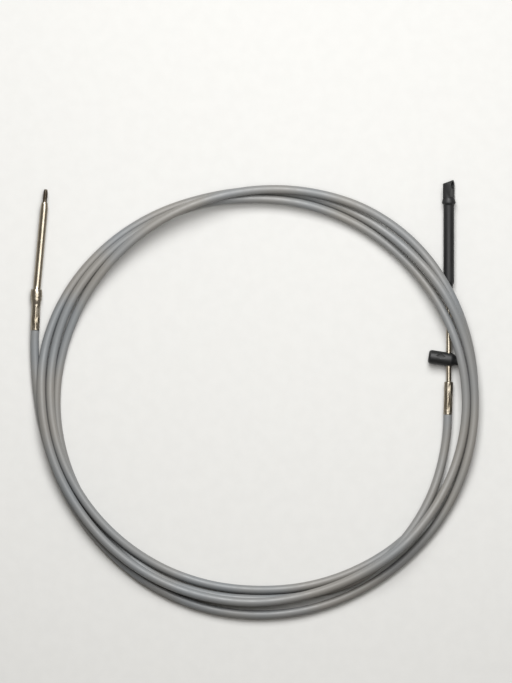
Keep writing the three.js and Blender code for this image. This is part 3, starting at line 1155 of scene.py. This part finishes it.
        tip = end + self.eye_reach
        eye = new_piece("eye", prism(self.eye_outline(), self.eye_thickness))
        drill_at = tip - self.eye_bore_from_tip
        drill = turned([(0, -self.eye_width), (self.eye_bore / 2, -self.eye_width),
                        (self.eye_bore / 2, self.eye_width), (0, self.eye_width)], 64)
        drill.transform(Matrix.Translation((0, drill_at, 0)) @ Matrix.Rotation(math.pi / 2, 4, "X"))
        combine(eye, new_piece("drill", drill), Join.CUT)
        eye.data.transform(Matrix.Rotation(math.radians(90 - self.eye_roll), 4, "Y"))

        block = 4 * self.eye_width
        saw = prism([(-block, 0), (block, 0), (block, block), (-block, block)], block)
        lift = Matrix.Translation((0, tip - self.eye_slant_from_tip, 0))
        saw.transform(lift @ Matrix.Rotation(math.radians(self.eye_slant), 4, "Z"))
        combine(eye, new_piece("saw", saw), Join.CUT)
        soften(eye, 0.5 * MM)
        combine(body, eye, Join.ADD)
        smoothed(body.data, 40)
        body.matrix_world = self.guide_axis.matrix()
        return body

    def build(self, plate: bpy.types.Material, stainless: bpy.types.Material,
              nylon: bpy.types.Material, rubber: bpy.types.Material) -> list[bpy.types.Object]:
        """Builds and dresses the five pieces.

        Args:
            plate: the ferrule's material.
            stainless: the support tube's material.
            nylon: the barrel's and the guide's material.
            rubber: the seal's material.

        Returns:
            The pieces.
        """
        return [
            dress(self.ferrule(), plate, Body.ROOT, "output_ferrule"),
            dress(self.tube(), stainless, Body.ROOT, "support_tube"),
            dress(self.barrel(), nylon, Body.ROOT, "anchor_barrel"),
            dress(self.seal(), rubber, Body.GUIDE, "guide_seal"),
            dress(self.guide(), nylon, Body.GUIDE, "casing_guide"),
        ]


@dataclass
class Studio:
    """The camera straight above, the pale floor and the soft lamps."""

    floor_size: float = 6.0
    window_size: tuple[float, float] = (1.5, 1.2)
    window_away: float = 2.6
    window_elevation: float = 52       # degrees, towards +Y
    window_power: float = 80
    strip_size: tuple[float, float] = (0.86, 0.6)
    strip_place: tuple[float, float, float] = (0.11, 0.25, 1.05)
    strip_power: float = 7.4
    room_grey: str = "8d8984"

    def camera(self, coil: Vector) -> None:
        """Sets the camera over the photo's middle, at the photo's scale.

        Args:
            coil: the coil's centre on the floor.
        """
        data = bpy.data.cameras.new("camera")
        frame_height = PHOTO_HEIGHT_PIXELS * PHOTO_MM_PER_PIXEL * MM
        data.sensor_width = SENSOR_WIDTH
        data.lens = SENSOR_WIDTH * CAMERA_HEIGHT / frame_height
        camera = bpy.data.objects.new("camera", data)
        camera.location = coil + CAMERA_FROM_COIL + UP * (CAMERA_HEIGHT + LAID)
        bpy.context.scene.collection.objects.link(camera)
        bpy.context.scene.camera = camera

    def floor(self) -> None:
        """Lays the floor that the cable lies on."""
        half = self.floor_size / 2
        mesh = prism([(-half, -half), (half, -half), (half, half), (-half, half)], 2 * MM)
        mesh.transform(Matrix.Translation((0, 0, -1 * MM)))
        mesh.materials.append(STUDIO_BOARD.material())
        new_piece("studio_floor", mesh)

    def lamp(self, name: str, place: Vector, size: tuple[float, float], power: float) -> None:
        """Hangs a soft lamp that faces the middle of the coil.

        Args:
            name: its name.
            place: where it hangs.
            size: its width and length.
            power: its power in watts.
        """
        data = bpy.data.lights.new(name, "AREA")
        data.shape = "RECTANGLE"
        data.size, data.size_y = size
        data.energy = power
        lamp = bpy.data.objects.new(name, data)
        lamp.location = place
        lamp.rotation_euler = (-place).to_track_quat("-Z", "Y").to_euler()
        lamp.visible_camera = False
        bpy.context.scene.collection.objects.link(lamp)

    def light(self) -> None:
        """Hangs the lamps and dims the room."""
        rise = math.radians(self.window_elevation)
        window = Vector((0, math.cos(rise), math.sin(rise))) * self.window_away
        self.lamp("window", window, self.window_size, self.window_power)
        self.lamp("ceiling_strip", Vector(self.strip_place), self.strip_size, self.strip_power)
        world = bpy.data.worlds.new("room")
        world.use_nodes = True
        background = world.node_tree.nodes["Background"]
        background.inputs["Color"].default_value = linear(self.room_grey)
        bpy.context.scene.world = world
        bpy.context.scene.view_settings.view_transform = "Standard"


def coil_centre(output: OutputEnd) -> Vector:
    """Finds the coil's centre on the floor from the support tube, which its route ends at."""
    angle, outwards, height = ROUTE[-1]
    radius = COIL_RADIUS + outwards
    turn = math.radians(angle)
    last = Vector((radius * math.cos(turn), radius * math.sin(turn), height))
    return output.ferrule_axis.start - last


def main() -> None:
    """Builds the camera, the conduit, both ends and the studio."""
    logging.basicConfig(level=logging.INFO, format="%(message)s")
    low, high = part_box("support_tube")
    tube_start = Vector(((low.x + high.x) / 2, low.y - SEAT_GAP, (low.z + high.z) / 2))
    output = OutputEnd(tube_start)
    coil = coil_centre(output)
    studio = Studio()
    studio.camera(coil)

    conduit = Conduit(coil)
    joints = {joint["name"]: joint for joint in frame["joints"]}
    pivot = Vector(joints["sleeve_swivel"]["pos_m"])
    out = Vector(joints["rod_slide"]["axis"]).normalized()
    entry = InputEnd(conduit.end(0), pivot, out)

    jacket, path = conduit.build(entry.hub_axis.along, output.ferrule_axis.along)
    dress(jacket, ExtrudedPolyethylene().material(), Body.ROOT, "conduit_jacket")
    LOG.info("conduit: %d rings", len(path))

    plate = NICKEL_PLATE.material()
    stainless = DRAWN_STAINLESS.material()
    pieces = entry.build(plate, stainless, OILED_STEEL.material())
    fittings = output.build(plate, stainless, GLASS_FILLED_NYLON.material(),
                            NITRILE_RUBBER.material())
    for piece in [*pieces, *fittings]:
        LOG.info("%s: %d faces", piece.name, len(piece.data.polygons))

    length = sum((b - a).length for a, b in zip(path, path[1:]))
    LOG.info("conduit length %.3f m", length)
    conduit.end(0)

    studio.floor()
    studio.light()


if __name__ == "__main__":
    main()
